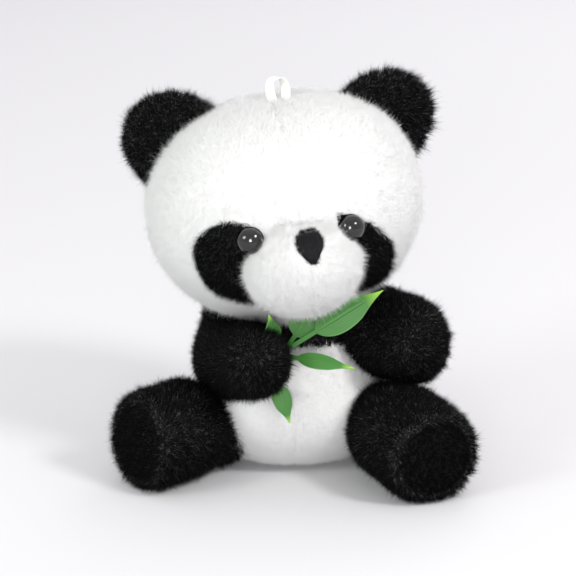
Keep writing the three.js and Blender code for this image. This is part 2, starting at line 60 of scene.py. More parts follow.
camera_data = bpy.data.cameras.new("camera")
camera_data.lens = CAMERA_LENS
camera_data.sensor_width = 36
camera_data.clip_start = 0.01
camera = add_object("camera", camera_data)
away = Vector((0, -math.cos(CAMERA_ELEVATION), math.sin(CAMERA_ELEVATION)))
camera.location = TARGET + CAMERA_DISTANCE * away
camera.rotation_euler = (-away).to_track_quat("-Z", "Y").to_euler()
bpy.context.scene.camera = camera
bpy.context.scene.view_settings.view_transform = "Standard"
bpy.context.scene.view_settings.look = "None"


def area_light(name, place, aim, size, watts, colour=(1, 1, 1)):
    data = bpy.data.lights.new(name, "AREA")
    data.shape = "RECTANGLE"
    data.size, data.size_y = size
    data.energy = watts
    data.color = colour
    light = add_object(name, data)
    light.location = Vector(place)
    light.rotation_euler = (Vector(aim) - light.location).to_track_quat("-Z", "Y").to_euler()


area_light("key", (0.64, -0.52, 0.72), (0, 0, 0.05), (0.21, 0.21), 5.8, (1.0, 0.985, 0.97))
area_light("fill", (-0.75, -0.55, 0.5), (0, 0, 0.05), (0.34, 0.34), 3.3, (0.94, 1.0, 0.93))
area_light("top", (0.0, 0.1, 0.9), (0, 0, 0.03), (0.9, 0.9), 0.4)
area_light("front", (-0.06, -1.2, 0.28), (0, 0, 0.05), (0.34, 0.34), 6.8)
area_light("rim", (0.3, 0.75, 0.45), (0, 0, 0.07), (0.6, 0.4), 1.2)

world = bpy.data.worlds.new("studio")
bpy.context.scene.world = world
world.use_nodes = True
background = world.node_tree.nodes["Background"].inputs
background["Color"].default_value = (0.93, 0.92, 0.95, 1)
background["Strength"].default_value = 0.98


# ---------- materials ----------
def surface(look):
    """The inputs of a material's Principled shader."""
    return look.node_tree.nodes["Principled BSDF"].inputs


def shader(name, colour, roughness=0.5, **sockets):
    """A material with one Principled shader. The sockets are its other constant inputs."""
    look = bpy.data.materials.new(name)
    look.use_nodes = True
    inputs = surface(look)
    inputs["Base Color"].default_value = (*colour, 1)
    inputs["Roughness"].default_value = roughness
    for socket, value in sockets.items():
        inputs[socket.replace("_", " ")].default_value = value
    return look


def node(look, kind, **inputs):
    """A new shader node with some constant inputs."""
    made = look.node_tree.nodes.new(kind)
    for name, value in inputs.items():
        made.inputs[name.replace("_", " ")].default_value = value
    return made


def link(look, source, target):
    look.node_tree.links.new(source, target)


def two_tone(look, factor, dark, light, low=0.35, high=0.65):
    """Base colour that runs from dark to light as a socket goes from low to high."""
    ramp = node(look, "ShaderNodeValToRGB")
    ramp.color_ramp.elements[0].position = low
    ramp.color_ramp.elements[0].color = (*dark, 1)
    ramp.color_ramp.elements[1].position = high
    ramp.color_ramp.elements[1].color = (*light, 1)
    link(look, factor, ramp.inputs["Fac"])
    link(look, ramp.outputs["Color"], surface(look)["Base Color"])


def bumped(look, height, strength, distance):
    """Relief from a height socket. The distance is in metres."""
    bump = node(look, "ShaderNodeBump", Strength=strength, Distance=distance)
    link(look, height, bump.inputs["Height"])
    link(look, bump.outputs["Normal"], surface(look)["Normal"])


def texture(look, kind, **inputs):
    """A texture node that reads the object's own coordinates, in metres."""
    where = node(look, "ShaderNodeTexCoord")
    made = node(look, kind, **inputs)
    link(look, where.outputs["Object"], made.inputs["Vector"])
    return made


def knit(name, dark, light, roughness=0.9):
    """The knitted backing that the pile grows from: fine rows across a slow mottle."""
    look = shader(name, light, roughness, Sheen_Weight=0.2)
    rows = texture(look, "ShaderNodeTexWave", Scale=900.0, Distortion=2.0, Detail=1.0)
    mottle = texture(look, "ShaderNodeTexNoise", Scale=450.0, Detail=3.0)
    two_tone(look, mottle.outputs["Fac"], dark, light)
    bumped(look, rows.outputs["Fac"], 0.5, 0.0002)
    return look


WHITE_CLOTH = knit("white_cloth", (0.80, 0.79, 0.80), (0.90, 0.895, 0.90))
BLACK_CLOTH = knit("black_cloth", (0.002, 0.002, 0.0022), (0.005, 0.005, 0.0055))
# Each list holds the looks of a panel's tufts, and TUFT_SHARES is how common each one is.
WHITE_SHEEN = {"Sheen_Weight": 0.25, "Sheen_Roughness": 0.4}
WHITE_PILE = [
    shader("white_pile_bright", (0.94, 0.94, 0.935), 0.75, **WHITE_SHEEN),
    shader("white_pile_cool", (0.91, 0.92, 0.908), 0.75, **WHITE_SHEEN),
    shader("white_pile_warm", (0.925, 0.92, 0.905), 0.8, **WHITE_SHEEN),
]
BLACK_PILE = [
    shader("black_pile_deep", (0.0010, 0.0010, 0.0011), 0.6, Specular_IOR_Level=0.05),
    shader("black_pile_cool", (0.0026, 0.0026, 0.0030), 0.5, Specular_IOR_Level=0.15),
    # The third black look paints glints: its light grey colour makes sparse bright specks on the black pile,
    # on top of its real specular shine.
    shader("black_pile_glint", (0.16, 0.16, 0.168), 0.3, Specular_IOR_Level=1.0, Metallic=0.5),
]
TUFT_SHARES = (0.61, 0.32, 0.07)


# ---------- meshes ----------
def mesh_object(name, points, triangles, looks, slots=None, normals=None):
    """An object from points in millimetres and triangles, smooth shaded.

    slots gives each triangle's look, and normals the shading direction at each point.
    """
    mesh = bpy.data.meshes.new(name)
    mesh.vertices.add(len(points))
    mesh.vertices.foreach_set("co", (points * MM).astype(np.float32).ravel())
    mesh.loops.add(3 * len(triangles))
    mesh.loops.foreach_set("vertex_index", triangles.astype(np.int32).ravel())
    mesh.polygons.add(len(triangles))
    mesh.polygons.foreach_set("loop_start", np.arange(0, 3 * len(triangles), 3, dtype=np.int32))
    for look in looks:
        mesh.materials.append(look)
    if slots is not None:
        mesh.polygons.foreach_set("material_index", slots.astype(np.int32))
    mesh.update(calc_edges=True)
    mesh.shade_smooth()
    if normals is not None:
        stored = mesh.attributes.new("custom_normal", "FLOAT_VECTOR", "POINT")
        stored.data.foreach_set("vector", normals.astype(np.float32).ravel())
    return add_object(name, mesh)


def settle(thing, body, node_name=None):
    """Makes an object ride on a body and stand for a CAD node, whose part it hides."""
    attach(thing, body)
    if node_name:
        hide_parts(node_name)


def unit(vectors):
    return vectors / np.maximum(np.linalg.norm(vectors, axis=-1, keepdims=True), 1e-9)


def dot(a, b):
    return np.einsum("ij,ij->i", a, b)


def circle(count):
    """Evenly spaced angles right round."""
    return np.linspace(0, 2 * math.pi, count, endpoint=False)


class Form:
    """A closed smooth surface of points and triangles, with a normal at each point."""

    def __init__(self, points, triangles):
        self.points = points
        self.triangles = triangles
        corners = points[triangles]
        cross = np.cross(corners[:, 1] - corners[:, 0], corners[:, 2] - corners[:, 0])
        self.areas = 0.5 * np.linalg.norm(cross, axis=1)
        self.centres = corners.mean(axis=1)
        summed = np.zeros_like(points)
        for corner in range(3):
            np.add.at(summed, triangles[:, corner], cross)
        self.normals = unit(summed)


def ring_form(rings):
    """Joins rings of points, (rings, around, 3), into a form. The first and last rings are single points."""
    count, around, _ = rings.shape
    middle = rings[1:-1].reshape(-1, 3)
    points = np.concatenate([rings[0, :1], middle, rings[-1, :1]])
    last = len(points) - 1
    triangles = []
    ahead = (np.arange(around) + 1) % around
    here = np.arange(around)
    triangles.append(np.stack([np.zeros(around, int), 1 + ahead, 1 + here], 1))
    for ring in range(count - 3):
        low = 1 + ring * around
        high = low + around
        triangles.append(np.stack([low + here, low + ahead, high + ahead], 1))
        triangles.append(np.stack([low + here, high + ahead, high + here], 1))
    low = 1 + (count - 3) * around
    triangles.append(np.stack([low + here, low + ahead, np.full(around, last)], 1))
    form = Form(points, np.concatenate(triangles))
    outward = dot(form.normals, form.points - form.points.mean(axis=0)).sum()
    if outward < 0:
        form = Form(points, form.triangles[:, ::-1])
    return form


def directions(down=60, around=120):
    """Unit vectors in rings from +Z to -Z, as an array of (rings, around, 3)."""
    polar = np.linspace(0, math.pi, down)[:, None]
    turn = circle(around)[None, :]
    return np.stack([np.sin(polar) * np.cos(turn), np.sin(polar) * np.sin(turn),
                     np.cos(polar) * np.ones_like(turn)], -1)


def lumps(points, size, amount, phase=0.0):
    """A slow unevenness of the stuffing: waves of about the given size, in millimetres."""
    total = np.zeros(points.shape[:-1])
    for step, (a, b, c) in enumerate([(1.0, 0.3, -0.5), (-0.4, 1.0, 0.6), (0.5, -0.7, 1.0), (0.9, 0.8, 0.2)]):
        wave = points @ np.array([a, b, c]) * (2 * math.pi / size)
        total += np.sin(wave + phase + 1.7 * step)
    return amount * total / 4


# ---------- the forms ----------
LOWEST = 0.06  # no form reaches lower than this above the floor

HEAD_AT = np.array([-2.5, -3.0, 72.0])
HEAD_R = np.array([37.4, 32.0, 30.6])
HEAD_TURN = np.array(Matrix.Rotation(math.radians(8.5), 3, "Z") @ Matrix.Rotation(math.radians(-8), 3, "Y"))
MUZZLE_AT = np.array([-0.3, -28.5, -8.5])
MUZZLE_R = np.array([15.6, 14.2, 13.4])
MUZZLE_SLIM = 0.8  # how much less the muzzle's radii are than MUZZLE_R
CROWN_SEAM_Y = 2.0  # the seam over the crown, between the face and the back of the head


def to_head(points):
    """From the model's frame to the head's own."""
    return (points - HEAD_AT) @ HEAD_TURN


def from_head(points):
    return points @ HEAD_TURN.T + HEAD_AT


def groove(distance, depth, width):
    """How far a seam pulls the surface in, at some distance from it."""
    return depth * np.exp(-(distance / width) ** 2)


def forehead_seam(z):
    """How far to one side the seam up the middle of the head runs, at a height in the head's frame."""
    return 1.4 * np.sin(math.pi * np.clip((z - 6) / 26, 0, 1))


HEAD_FULL = {"above": 0.06, "below": -0.016}


def head_fullness(rays):
    """How much further out the head stands than a plain ball, most at the upper corners from the front."""
    sideways = np.hypot(rays[..., 0], rays[..., 2])
    corner = np.sin(2 * np.arctan2(np.abs(rays[..., 2]), np.abs(rays[..., 0]))) ** 2
    amount = np.where(rays[..., 2] > 0, HEAD_FULL["above"], HEAD_FULL["below"])
    return 1 + amount * corner * sideways ** 3


HEAD_RAYS = directions(90, 180)
head_points = HEAD_RAYS * HEAD_R * head_fullness(HEAD_RAYS)[..., None]
head_in = groove(head_points[..., 0] - forehead_seam(head_points[..., 2]), depth=0.4, width=0.7)
head_in += groove(head_points[..., 1] - CROWN_SEAM_Y, depth=0.45, width=0.8)
head_in -= lumps(head_points, size=34, amount=0.45)
HEAD = ring_form(from_head(head_points - HEAD_RAYS * head_in[..., None]))

MUZZLE_RAYS = directions(60, 110)
muzzle_points = MUZZLE_RAYS * (MUZZLE_R - MUZZLE_SLIM)
muzzle_in = groove(muzzle_points[..., 0] + MUZZLE_AT[0], depth=0.28, width=0.6) * (muzzle_points[..., 1] < 0)
muzzle_in -= lumps(muzzle_points, size=22, amount=0.25)
MUZZLE = ring_form(from_head(muzzle_points - MUZZLE_RAYS * muzzle_in[..., None] + MUZZLE_AT))

# The body is a pear. Its profile is a list of (radius, height), from the seat to the neck.
BODY_PROFILE = np.array([
    [0.0, 0], [10.5, 0], [17, 1.1], [21.6, 4.4], [24.6, 9.6], [25.4, 15.5], [24.7, 21.5], [23, 27.5],
    [20.8, 33.5], [18.4, 39], [14, 44], [7, 47], [0, 47.8],
])
BODY_TOP = 47
BODY_FLATTEN = 0.96
BODY_SEAM_X = 0.3
BAND_AT = (-22.0, 36.0)  # (y, z) of the black shoulder band's lower edge at the front
BAND_DIP = 0.06
BASE_Z = 3.6
BELLY_PUSH = 0.14
BELLY_POWER = 2.8  # above 2, the belly's front is broader than an ellipse
BELLY_MIDDLE = 19
BELLY_REACH = 13


def smooth_profile(points, count):
    """A Catmull-Rom curve through some points."""
    padded = np.concatenate([points[:1], points, points[-1:]])
    steps = np.linspace(0, len(points) - 1, count)
    piece = np.minimum(steps.astype(int), len(points) - 2)
    t = (steps - piece)[:, None]
    a, b, c, d = (padded[piece + k] for k in range(4))
    curve = 2 * b + (c - a) * t + (2 * a - 5 * b + 4 * c - d) * t ** 2 + (3 * b - a - 3 * c + d) * t ** 3
    return 0.5 * curve


def body_radius(z):
    return np.interp(z, BODY_PROFILE[1:-1, 1], BODY_PROFILE[1:-1, 0])


def belly_factor(x, z, radius):
    """How much further forward the belly's front stands than the plain pear."""
    share = np.clip(np.abs(x) / np.maximum(radius, 1e-6), 0, 0.995)
    square = (1 - share ** BELLY_POWER) ** (1 / BELLY_POWER) / np.sqrt(1 - share ** 2)
    low = np.exp(-((z - BELLY_MIDDLE) / BELLY_REACH) ** 2) * np.clip(z / 4, 0, 1)
    return 1 + low * ((1 + BELLY_PUSH) * square - 1)


def build_body():
    """The pear of the body, with its side seams, its band seam and a flat base."""
    profile = smooth_profile(BODY_PROFILE, 90)
    profile[:, 0] = np.maximum(profile[:, 0], 0)
    turn = circle(150)
    radius = profile[:, 0][:, None]
    z = profile[:, 1][:, None] * np.ones_like(turn)
    x = radius * np.cos(turn)
    y = BODY_FLATTEN * radius * np.sin(turn)
    y = np.where(y < 0, y * belly_factor(x, z, radius), y)
    points = np.stack([x, y, z], -1)
    inward = groove(x - BODY_SEAM_X, depth=0.4, width=0.7) * np.clip(z / 6, 0, 1)
    inward += groove(z - band_height(y), depth=0.5, width=0.9)
    inward -= lumps(points, size=26, amount=0.3) * np.clip(z / 10, 0, 1)
    points = points - unit(np.stack([x, y, 0 * z], -1)) * inward[..., None]
    points[..., 2] = np.maximum(points[..., 2], LOWEST)
    return ring_form(points)


def band_height(y):
    """Lower edge of the black shoulder band."""
    return BAND_AT[1] - BAND_DIP * (y - BAND_AT[0])


BODY = build_body()


def limb_frame(limb):
    """(along, level, upper): along the limb, level across it, and across it upwards."""
    along = unit(np.array(limb["tip"]) - np.array(limb["root"]))
    level = unit(np.cross(along, [0, 0, 1]))
    return along, level, np.cross(level, along)


def blunt(angle, power):
    """Cosine and sine of a superellipse."""
    c, s = np.cos(angle), np.sin(angle)
    return np.abs(c) ** (2 / power), np.sign(s) * np.abs(s) ** (2 / power)


# root and tip are the middles of a limb's two ends, and bow is how far it strays from a straight line.
# An arm's pairs are for its root and its tip: radii, stretch level and upwards, and power of the rounding.
ARM = {
    "right": {"root": [-15.8, -5, 39.5], "tip": [-10.3, -35.2, 37.4], "radii": (8.2, 7.9), "elbow": 2.1,
              "level": (1.0, 1.0), "upper": (1.0, 1.10), "power": (2.0, 2.2), "bow": (-2.2, 0, -7.8)},
    "left": {"root": [17.5, -4, 36.8], "tip": [31.9, -19.8, 38.3], "radii": (10.8, 9.9), "elbow": 0.0,
             "level": (1.0, 0.90), "upper": (1.05, 1.09), "power": (2.0, 2.3), "bow": (0, 0, 0.6)},
}
LEG = {
    "right": {"root": [-21.0, -17.0, 10.6], "tip": [-42.4, -33.4, 13.3], "bow": (0, 0, 2.4)},
    "left": {"root": [23.6, -12.6, 12.8], "tip": [38.4, -44.2, 12.6], "bow": (-1.8, 0, 1.8)},
}
LEG_ROOT_R = 8.2
LEG_TIP_R = 12.5
LEG_RADII = {0: LEG_ROOT_R, 0.2: 9.7, 0.45: 12.5, 0.75: 12.5, 1: LEG_TIP_R}  # at shares of its length
FOOT_ROUND = 2.0
SOLE_R = 10.3
SOLE_DOME = 0.9


def limb_length(limb):
    return np.linalg.norm(np.array(limb["tip"]) - np.array(limb["root"]))


def arch(share):
    """A hump from 0 to 1 and back along a limb, highest before halfway."""
    return np.clip(np.sin(math.pi * share ** 0.7), 0, 1) ** 1.5


def limb_centre(limb, s):
    """The middle of a limb at some distance from its root."""
    along, _, _ = limb_frame(limb)
    share = np.clip(s / limb_length(limb), 0, 1)[..., None]
    return np.array(limb["root"]) + s[..., None] * along + arch(share) * np.array(limb["bow"])


def limb_form(limb, stations, around=110):
    """A limb from stations of (distance along, level half width, upper half width), closed at both ends."""
    _, level, upper = limb_frame(limb)
    turn = circle(around)[None, :, None]
    stations = np.array(stations)
    stations[[0, -1], 1:] = 0
    s, wide, tall = (column[:, None, None] for column in stations.T)
    spoke = wide * np.cos(turn) * level + tall * np.sin(turn) * upper
    points = limb_centre(limb, s[..., 0]) + spoke
    points = points + unit(spoke + 1e-6) * lumps(points, size=17, amount=0.35)[..., None] * (wide > 0.5)
    points[..., 2] = np.maximum(points[..., 2], LOWEST)
    return ring_form(points)


def build_arm(name):
    """An arm with rounded ends, thicker at the elbow."""
    limb = ARM[name]
    length = limb_length(limb)
    stations = []
    near, far = limb["radii"]
    for angle in np.linspace(-math.pi / 2, 0, 24):
        c, s = blunt(angle, limb["power"][0])
        stations.append((near * s, near * c))
    for share in np.linspace(0.05, 0.95, 16):
        stations.append((share * length, near + (far - near) * share + limb["elbow"] * arch(share)))
    for angle in np.linspace(0, math.pi / 2, 30):
        c, s = blunt(angle, limb["power"][1])
        stations.append((length + far * s, far * c))
    rows = []
    for s, radius in stations:
        level, upper = (np.interp(s / length, (0, 1), limb[key]) for key in ("level", "upper"))
        rows.append((s, radius * level, radius * upper))
    return limb_form(limb, rows)


def build_leg(name):
    """A leg that widens from the hip to a blunt foot, with a seam round its sole."""
    limb = LEG[name]
    length = limb_length(limb)
    rows = []
    for angle in np.linspace(-math.pi / 2, 0, 22):
        rows.append((LEG_ROOT_R * math.sin(angle), LEG_ROOT_R * math.cos(angle)))
    barrel_end = length - FOOT_ROUND
    for share in np.linspace(0.05, 1, 18):
        radius = np.interp(share, list(LEG_RADII), list(LEG_RADII.values()))
        rows.append((share * barrel_end, radius))
    for angle in np.linspace(0.1, math.pi / 2, 12):
        rows.append((barrel_end + FOOT_ROUND * math.sin(angle),
                     LEG_TIP_R - FOOT_ROUND + FOOT_ROUND * math.cos(angle)))
    edge = LEG_TIP_R - FOOT_ROUND
    for share in np.linspace(0.08, 1, 14):
        radius = edge * (1 - share)
        seam = groove(radius - SOLE_R, depth=1.0, width=0.6)
        rows.append((length + SOLE_DOME * (1 - (radius / edge) ** 2) - seam, radius))
    return limb_form(limb, [(s, radius, radius) for s, radius in rows])


# wide, tall and thick are half sizes, angle is from the head's +Z, and cup is how far the middle stands back.
EAR = {"angle": {"right": 44.5, "left": 53.5}, "wide": 12.9, "tall": 15.4, "thick": 3.2, "y": 3.0, "cup": 1.4}


def ear_turn(name):
    """(rotation, foot) of an ear in the head's frame."""
    lean = SIDES[name] * math.radians(EAR["angle"][name])
    foot = np.array([HEAD_R[0] * math.sin(lean), EAR["y"], HEAD_R[2] * math.cos(lean)])
    return np.array(Matrix.Rotation(lean, 3, "Y")), foot


def to_ear(points, name):
    turn, foot = ear_turn(name)
    return (to_head(points) - foot) @ turn


def ear_middle(points):
    """How far back the middle of an ear's thickness lies, in the ear's frame."""
    flat = np.hypot(points[..., 0] / EAR["wide"], points[..., 2] / EAR["tall"])
    return EAR["cup"] * (1 - flat ** 2) + 0.3 * np.sin(points[..., 0] / 4)


def build_ear(name):
    points = directions(60, 110) * np.array([EAR["wide"], EAR["thick"], EAR["tall"]])
    points[..., 1] += ear_middle(points)
    turn, foot = ear_turn(name)
    return ring_form(from_head(points @ turn.T + foot))


ARMS = {name: build_arm(name) for name in SIDES}
LEGS = {name: build_leg(name) for name in SIDES}
EARS = {name: build_ear(name) for name in SIDES}


# ---------- how far a point is outside each form (negative inside) ----------
def off_ball(points, radii):
    scaled = np.linalg.norm(points / radii, axis=-1)
    slope = np.linalg.norm(points / radii ** 2, axis=-1)
    return scaled * (scaled - 1) / np.maximum(slope, 1e-6)


def off_head(points):
    return off_ball(to_head(points), HEAD_R)


def off_muzzle(points):
    return off_ball(to_head(points) - MUZZLE_AT, MUZZLE_R - MUZZLE_SLIM)


def off_body(points):
    x, y, z = points[..., 0], points[..., 1], points[..., 2]
    radius = body_radius(z)
    forward = np.where(y < 0, belly_factor(x, z, radius), 1.0)
    outside = np.hypot(x, y / (BODY_FLATTEN * forward)) - radius
    return np.maximum(outside, np.maximum(-z, z - BODY_TOP))


def off_limb(points, limb, near, far, level=1.0, upper=1.0):
    along, level_axis, upper_axis = limb_frame(limb)
    length = limb_length(limb)
    s = (points - np.array(limb["root"])) @ along
    share = np.clip(s / length, 0, 1)
    local = points - limb_centre(limb, s)
    across = np.hypot(local @ level_axis / level, local @ upper_axis / upper)
    return np.hypot(across, s - share * length) - (near + (far - near) * share)


def off_arm(name):
    limb = ARM[name]
    level, upper = limb["level"][1], limb["upper"][1]
    return lambda points: off_limb(points, limb, *limb["radii"], level, upper)


def off_leg(name):
    return lambda points: off_limb(points, LEG[name], LEG_ROOT_R, LEG_TIP_R - 1.0)


# ---------- pile ----------
def seeded(name):
    return np.random.default_rng(sum((place + 1) * ord(letter) for place, letter in enumerate(name)))


CELL_VECTORS = 4096
CELL_PRIMES = (73856093, 19349663, 83492791)


def cells(points, size, seed):
    """A random vector for each little cube of space, the same for every point in it."""
    table = np.random.default_rng(seed).normal(size=(CELL_VECTORS, 3))
    x, y, z = (np.floor(points / size).astype(np.int64) * CELL_PRIMES).T
    return table[(x ^ y ^ z) % CELL_VECTORS]


DENSITY = 17.5  # tufts per square millimetre where a panel's own density is 1
TUFT_CELL = 0.9  # size of the cells whose tufts lean together, and how strongly they do
TUFT_LEAN = 0.6
LENGTH_LEAST = 0.70  # tufts of one panel differ in length by these shares
LENGTH_RANGE = 0.42
ROOT_DEPTH = 0.25
ROOT_CLEAR = 0.02
TIP_CLEAR = 0.12


def grow(name, form, region, looks, length, flow, lean=0.35, spread=0.24, clump=0.3, width=0.075, density=1.0,
         shares=TUFT_SHARES, hidden=(), soft=0.65, ragged=0.06, guard=0.1, guard_length=1.4, last_length=1.0):
    """The pile of one panel: a thin three-sided spike for each tuft of fibres, rooted in the form's surface.

    region: which points of the form belong to the panel
    length: a tuft's length, or a function that gives it at each root
    flow, lean: the way the pile is combed at each root, and how strongly
    spread, clump: how far tufts stray one by one, and together with their neighbours
    width: radius of a tuft at its root
    shares, last_length: how common each look is, and the relative length of the last one
    hidden: pairs of (distance outside another form, depth in it beyond which nothing grows)
    soft: how much the shading follows the form, and not the single tuft
    ragged: unevenness of length from cell to cell
    guard, guard_length: share and relative length of the longer guard tufts
    """
    random = seeded(name)
    count = int(form.areas.sum() * DENSITY * density)
    chosen = random.choice(len(form.areas), size=count, p=form.areas / form.areas.sum())
    a, b = random.random((2, count))
    over = a + b > 1
    a[over], b[over] = 1 - a[over], 1 - b[over]
    weights = np.stack([1 - a - b, a, b], 1)[..., None]
    corners = form.triangles[chosen]
    roots = (form.points[corners] * weights).sum(axis=1)
    out = unit((form.normals[corners] * weights).sum(axis=1))
    kept = region(roots)
    for off, depth in hidden:
        kept &= off(roots) > -depth
    roots, out = roots[kept], out[kept]
    count = len(roots)

    comb = flow(roots, out)
    comb = unit(comb - dot(comb, out)[:, None] * out + 1e-9)
    tufts = cells(roots + 0.35 * cells(roots, 3.1, 5), TUFT_CELL, 11)
    way = out + lean * comb + spread * random.normal(size=(count, 3)) + clump * tufts * TUFT_LEAN
    way = unit(way)
    low = dot(way, out) < 0.3
    way[low] = unit(way[low] + 0.6 * out[low])
    size = length(roots) if callable(length) else np.full(count, length)
    size = size * (LENGTH_LEAST + LENGTH_RANGE * random.random(count)) * (1 + ragged * tufts[:, 0])
    kind = random.choice(len(looks), size=count, p=shares)
    long = (random.random(count) < guard) & (kind < 2)
    size = size * np.where(long, guard_length, 1.0) * np.where(kind == 2, last_length, 1.0)
    tips = roots + way * size[:, None]
    tips[:, 2] = np.maximum(tips[:, 2], TIP_CLEAR + 0.5 * random.random(count))
    side = unit(np.cross(way, unit(random.normal(size=(count, 3)))))
    other = np.cross(way, side)
    points = np.empty((count, 4, 3))
    normals = np.empty((count, 4, 3))
    for corner in range(3):
        angle = 2 * math.pi * corner / 3
        ray = math.cos(angle) * side + math.sin(angle) * other
        points[:, corner] = roots - ROOT_DEPTH * out + width * ray
        normals[:, corner] = unit(soft * out + (1 - soft) * ray)
    points[:, 3] = tips
    normals[:, 3] = unit(soft * out + (1 - soft) * way)
    points[..., 2] = np.maximum(points[..., 2], ROOT_CLEAR)
    base = 4 * np.arange(count)[:, None, None]
    triangles = (base + np.array([[0, 1, 3], [1, 2, 3], [2, 0, 3]])).reshape(-1, 3)
    slots = np.repeat(kind, 3)
    return mesh_object(name, points.reshape(-1, 3), triangles, looks, slots, normals.reshape(-1, 3))


def backing(name, form, region, look):
    """The cloth of one panel: the part of a form whose faces lie in the region."""
    faces = form.triangles[region(form.centres)]
    used, faces = np.unique(faces, return_inverse=True)
    return mesh_object(name, form.points[used], faces.reshape(-1, 3), [look])


PLUSH = {
    "white": (WHITE_CLOTH, WHITE_PILE, {}),
    # last_length makes the painted glint tufts shorter, so only their tips show as specks among the others.
    "black": (BLACK_CLOTH, BLACK_PILE, {"soft": 0.3, "last_length": 0.66}),
}


def panel(node_name, body, form, region, colour, length, flow, **pile):
    """One plush panel: its cloth, which stands for the CAD node, and its pile."""
    cloth_look, pile_looks, settings = PLUSH[colour]
    cloth = backing(f"{node_name}_cloth", form, region, cloth_look)
    fur = grow(f"{node_name}_pile", form, region, pile_looks, length, flow, **{**settings, **pile})
    settle(cloth, body, node_name)
    settle(fur, body)


def down(points, out):
    return np.tile([0.0, -0.25, -1.0], (len(points), 1))


# ---------- head ----------
# Places on the face are x and z in the head's frame.
# An eye patch is a leaning oval with its inner side cut off.
PATCH = {
    "right": {"x": -16.8, "z": -5.8, "across": 11.2, "tall": 12.1, "lean": -0.13, "inner": 10.8},
    "left": {"x": 13.2, "z": -8.6, "across": 11.3, "tall": 13.0, "lean": -0.36, "inner": 10.0},
}
EYE = {"x": 13.2, "z": {"right": 1.4, "left": 0.1}, "radius": 3.65}
NOSE = {"wide": 6.9, "tall": 7.0, "x": 1.1, "z": -1.3}
NOSE_OUTLINE = {0: 0.5, 0.1: 0.84, 0.3: 1.0, 0.55: 0.88, 0.8: 0.5, 1: 0.14}  # width at shares from top to tip
HEAD_PILE_LENGTH = 2.1
MUZZLE_PILE_LENGTH = 2.0


def in_patch(points, name):
    """Whether points are within one eye patch, seen from the front of the head."""
    local = to_head(points)
    patch = PATCH[name]
    dz = local[:, 2] - patch["z"]
    dx = local[:, 0] - patch["x"] - patch["lean"] * dz
    wobble = 1 + 0.03 * np.sin(5 * np.arctan2(dz, dx) + 1)
    inside = (dx / patch["across"]) ** 2 + (dz / patch["tall"]) ** 2 < wobble
    return inside & (SIDES[name] * local[:, 0] > patch["inner"]) & (local[:, 1] < 0)


def eye_place(name):
    """(centre, outward) of an eye on the head, in the head's frame."""
    x = SIDES[name] * EYE["x"]
    z = EYE["z"][name]
    a, b, c = HEAD_R
    y = -b * math.sqrt(1 - (x / a) ** 2 - (z / c) ** 2)
    return np.array([x, y, z]), unit(np.array([x / a ** 2, y / b ** 2, z / c ** 2]))


def off_nose(local):
    """Roughly how far a point of the muzzle is outside the nose's outline, in the head's XZ plane."""
    tall = NOSE["tall"]
    top = NOSE["z"] + tall / 2
    share = np.clip((top - local[:, 2]) / tall, 0, 1)
    reach = NOSE["wide"] / 2 * np.interp(share, list(NOSE_OUTLINE), list(NOSE_OUTLINE.values()))
    beside = np.abs(local[:, 0] - NOSE["x"]) - reach
    above = np.maximum(local[:, 2] - top, top - tall - local[:, 2])
    return np.maximum(beside, above)


def head_region(side, front):
    """The panel of the head's ball on one side, in front of the crown seam or behind it."""
    def region(points):
        local = to_head(points)
        inside = (local[:, 0] - forehead_seam(local[:, 2])) * side > 0
        inside &= (local[:, 1] < CROWN_SEAM_Y) == front
        if front:
            inside &= ~in_patch(points, "right") & ~in_patch(points, "left")
        return inside
    return region


def muzzle_region(side):
    return lambda points: ((to_head(points)[:, 0] - MUZZLE_AT[0]) * side > 0) & (off_head(points) > -1.0)


def short_by_eyes(local, least=0.6):
    """Share of its full length that the pile has near an eye."""
    share = np.ones(len(local))
    for name in SIDES:
        centre, _ = eye_place(name)
        gap = np.linalg.norm(local - centre, axis=1) - EYE["radius"]
        share = np.minimum(share, np.clip(least + gap / 5, least, 1))
    return share


def pile_of_head(points):
    """Pile length on the head: short beside the seams and round the eyes."""
    local = to_head(points)
    seam = np.abs(local[:, 0] - forehead_seam(local[:, 2]))
    short = 1 - 0.35 * np.exp(-(seam / 0.7) ** 2)
    chin = 1 + 0.3 * np.clip((-local[:, 2] - 12) / 12, 0, 1)
    return HEAD_PILE_LENGTH * short * short_by_eyes(local) * chin


def head_flow(points, out):
    """Away from the nose and down."""
    local = to_head(points)
    away_from_nose = local - MUZZLE_AT
    return (unit(away_from_nose) * 0.7 + np.array([0, 0.3, -0.8])) @ HEAD_TURN.T


def pile_of_muzzle(points):
    """Pile length on the muzzle: short at the seam, by the eyes and under the nose's edge."""
    local = to_head(points)
    seam = np.abs(local[:, 0] - MUZZLE_AT[0])
    below = local[:, 2] < NOSE["z"] - 3
    short = 1 - 0.16 * np.exp(-(seam / 0.5) ** 2) * below
    by_nose = np.clip(0.28 + off_nose(local) / 4, 0.28, 1)
    return MUZZLE_PILE_LENGTH * short * short_by_eyes(local, 0.35) * by_nose


